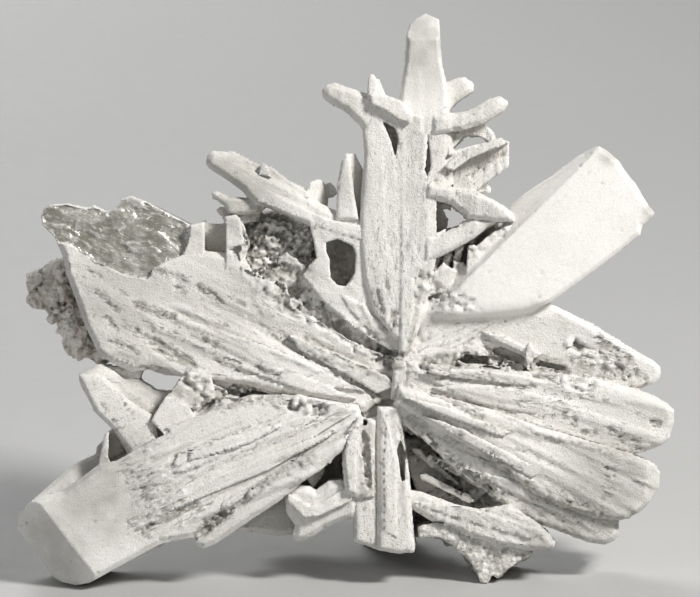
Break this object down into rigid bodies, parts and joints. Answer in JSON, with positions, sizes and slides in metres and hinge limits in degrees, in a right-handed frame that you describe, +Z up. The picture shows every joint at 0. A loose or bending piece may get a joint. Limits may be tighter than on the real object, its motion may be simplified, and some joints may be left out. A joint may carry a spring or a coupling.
{
  "type": "cerussite crystal specimen",
  "caption": "White star-shaped cerussite twin with flat blades that spread from one centre, pitted faces and a little grey and brown matrix at the back and foot.",
  "frame": {"origin": "middle of the bounding box in plan, at the height of the surface it stands on", "axes": "+Z up, +X to the right and -Y towards the viewer, seen from the front with the face of the star in view"},
  "size_m": [0.109, 0.0416, 0.0919],
  "materials": {
    "white_cerussite": "matt, finely pitted stone",
    "brown_crust": "rough brown-grey stone",
    "grey_druse": "rough grey stone",
    "grey_matrix": "rough grey stone"
  },
  "bodies": {
    "root": {"cerussite_twin": "white_cerussite", "matrix_crust": "brown_crust", "matrix_pocket": "grey_druse", "matrix_foot": "grey_matrix"}
  },
  "joints": []
}
